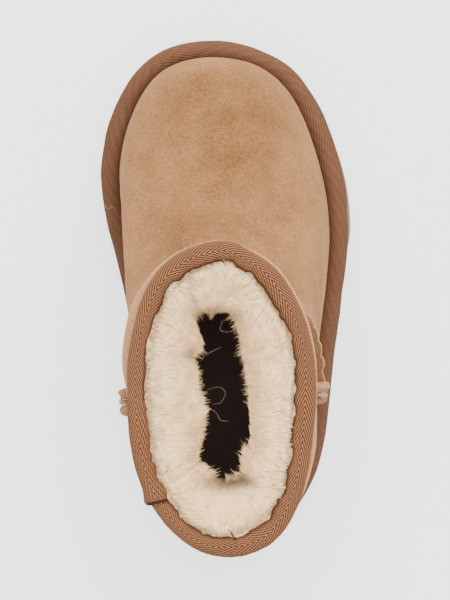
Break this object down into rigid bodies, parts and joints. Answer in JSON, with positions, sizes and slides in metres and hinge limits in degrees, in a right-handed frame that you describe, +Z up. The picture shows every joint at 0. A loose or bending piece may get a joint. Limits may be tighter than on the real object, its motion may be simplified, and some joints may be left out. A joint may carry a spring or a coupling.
{
  "type": "snow boot",
  "caption": "Toddler's low pull-on snow boot for the right foot: suede upper, deep fleece lining, herringbone tape binding and padded rand, foam platform and lugged rubber outsole.",
  "frame": {"origin": "on the floor, under the middle of the boot's bounding box", "axes": "+Y from heel to toe, +X to the boot's outer (lateral) side, +Z up"},
  "size_m": [0.0858, 0.1737, 0.1092],
  "materials": {
    "suede": "brushed suede nap, soft sheen on rounded edges",
    "herringbone_tape": "herringbone twill tape, matte",
    "fleece": "deep cream pile in soft locks",
    "footbed": "very dark brown felted footbed",
    "platform_foam": "matte moulded foam",
    "outsole_rubber": "matte moulded rubber"
  },
  "bodies": {
    "root": {"outsole": "outsole_rubber", "midsole": "platform_foam", "platform_rand": "herringbone_tape", "insole": "footbed", "upper": "suede", "vamp_seam": "suede", "side_seam_medial": "suede", "side_seam_lateral": "suede", "heel_counter": "suede", "collar_binding": "herringbone_tape", "fleece_lining": "fleece"}
  },
  "joints": []
}
